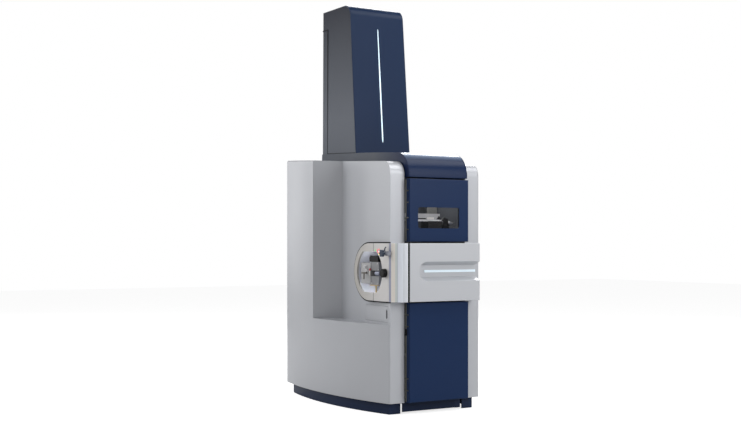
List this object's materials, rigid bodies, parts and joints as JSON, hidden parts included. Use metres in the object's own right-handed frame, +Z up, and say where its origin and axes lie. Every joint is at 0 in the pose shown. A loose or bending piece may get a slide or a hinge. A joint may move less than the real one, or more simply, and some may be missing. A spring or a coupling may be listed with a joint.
{
  "type": "floor-standing mass spectrometer",
  "caption": "Floor-standing mass spectrometer with bulged side shells, a leaning flight tube tower, a source opening in a side notch, and hinged front doors.",
  "frame": {"origin": "on the floor, under the middle of the machine", "axes": "+Z up, -Y towards the front doors, -X towards the source side"},
  "size_m": [0.602, 1.06, 1.9],
  "materials": {
    "navy_paint": "satin paint",
    "dark_paint": "satin paint",
    "silver_paint": "fine metallic satin paint",
    "grey_paint": "fine metallic satin paint",
    "pale_paint": "satin paint",
    "frame_metal": "matt powder coat",
    "source_metal": "fine vertical brushing",
    "chrome": "polished",
    "machined_metal": "fine machined",
    "hinge_metal": "plain",
    "brass": "plain",
    "black_plastic": "fine texture",
    "blue_plastic": "semi gloss",
    "black_rubber": "matt",
    "window_glass": "clear, slightly smoked",
    "light_bar": "lit diffuser",
    "indicator": "small lit lens"
  },
  "bodies": {
    "cabinet": {"base_plinth": "dark_paint", "kick_panel": "dark_paint", "levelling_feet": "black_rubber", "cabinet_frame": "frame_metal", "right_shell": "silver_paint", "left_shell": "silver_paint", "source_housing_rear": "source_metal", "source_housing_front": "source_metal", "source_corner": "source_metal", "source_chamber": "chrome", "source_block": "machined_metal", "sampling_cone": "chrome", "source_cover": "black_plastic", "source_carrier": "machined_metal", "gas_valve_body": "chrome", "indicator_lights": "indicator", "block_post": "brass", "band_cover": "silver_paint", "band_light_bar": "light_bar", "upper_hinge": "hinge_metal", "lower_hinge": "hinge_metal", "hatch_pins": "hinge_metal", "roof_hood": "navy_paint", "roof_skirt_left": "grey_paint", "roof_skirt_right": "grey_paint", "tower_front_cover": "navy_paint", "tower_light_bar": "light_bar", "tower_side_cover": "grey_paint", "tower_rear_panel": "grey_paint", "flight_tube": "machined_metal", "mirror_stack": "machined_metal", "transfer_line": "machined_metal", "line_stand": "black_plastic", "line_wedge": "black_plastic", "inlet_nozzle": "chrome", "detector_module": "black_plastic", "compartment_panel": "pale_paint", "turbo_pump": "machined_metal", "power_supply": "frame_metal", "rear_panel": "grey_paint", "exhaust_port": "hinge_metal", "gas_ports": "brass", "mains_inlet": "black_plastic", "switch_housing": "black_plastic", "fan_housing": "black_plastic"},
    "upper_door": {"upper_door": "navy_paint", "window_glass": "window_glass", "window_bezel": "black_rubber"},
    "lower_door": {"lower_door": "navy_paint", "lower_door_buffer": "black_rubber"},
    "hatch": {"hatch": "silver_paint"},
    "black_knob": {"black_knob": "black_plastic"},
    "thumb_screw_upper": {"thumb_screw_upper": "chrome"},
    "thumb_screw_lower": {"thumb_screw_lower": "chrome"},
    "lock_lever": {"lock_lever": "chrome"},
    "star_knob": {"star_knob": "blue_plastic"},
    "main_switch": {"main_switch": "black_plastic"},
    "fan_rotor": {"fan_rotor": "black_plastic"}
  },
  "joints": [
    {"name": "upper_door_hinge", "type": "hinge", "parent": "cabinet", "child": "upper_door", "pos_m": [-0.151, -0.484, 0.902], "axis": [0, 0, 1], "range_deg": [-105, 0]},
    {"name": "lower_door_hinge", "type": "hinge", "parent": "cabinet", "child": "lower_door", "pos_m": [-0.151, -0.484, 0.2745], "axis": [0, 0, 1], "range_deg": [-105, 0]},
    {"name": "hatch_hinge", "type": "hinge", "parent": "cabinet", "child": "hatch", "pos_m": [-0.20476, -0.21543, 0.4425], "axis": [0, 0, 1], "range_deg": [-100, 0]},
    {"name": "black_knob_turn", "type": "hinge", "parent": "cabinet", "child": "black_knob", "pos_m": [-0.253, -0.437, 0.6245], "axis": [1, 0, 0], "range_deg": [-90, 90]},
    {"name": "thumb_screw_upper_turn", "type": "hinge", "parent": "cabinet", "child": "thumb_screw_upper", "pos_m": [-0.244, -0.268, 0.6514], "axis": [1, 0, 0], "continuous": true},
    {"name": "thumb_screw_lower_turn", "type": "hinge", "parent": "cabinet", "child": "thumb_screw_lower", "pos_m": [-0.244, -0.283, 0.6354], "axis": [1, 0, 0], "continuous": true},
    {"name": "lock_lever_turn", "type": "hinge", "parent": "cabinet", "child": "lock_lever", "pos_m": [-0.246, -0.272, 0.622], "axis": [1, 0, 0], "range_deg": [0, 90]},
    {"name": "star_knob_turn", "type": "hinge", "parent": "cabinet", "child": "star_knob", "pos_m": [-0.272, -0.455, 0.712], "axis": [1, 0, 0], "continuous": true},
    {"name": "main_switch_rock", "type": "hinge", "parent": "cabinet", "child": "main_switch", "pos_m": [-0.03, 0.4866, 0.25], "axis": [1, 0, 0], "range_deg": [-9, 9]},
    {"name": "fan_spin", "type": "hinge", "parent": "cabinet", "child": "fan_rotor", "pos_m": [0.06, 0.46, 0.33], "axis": [0, 1, 0], "continuous": true}
  ]
}
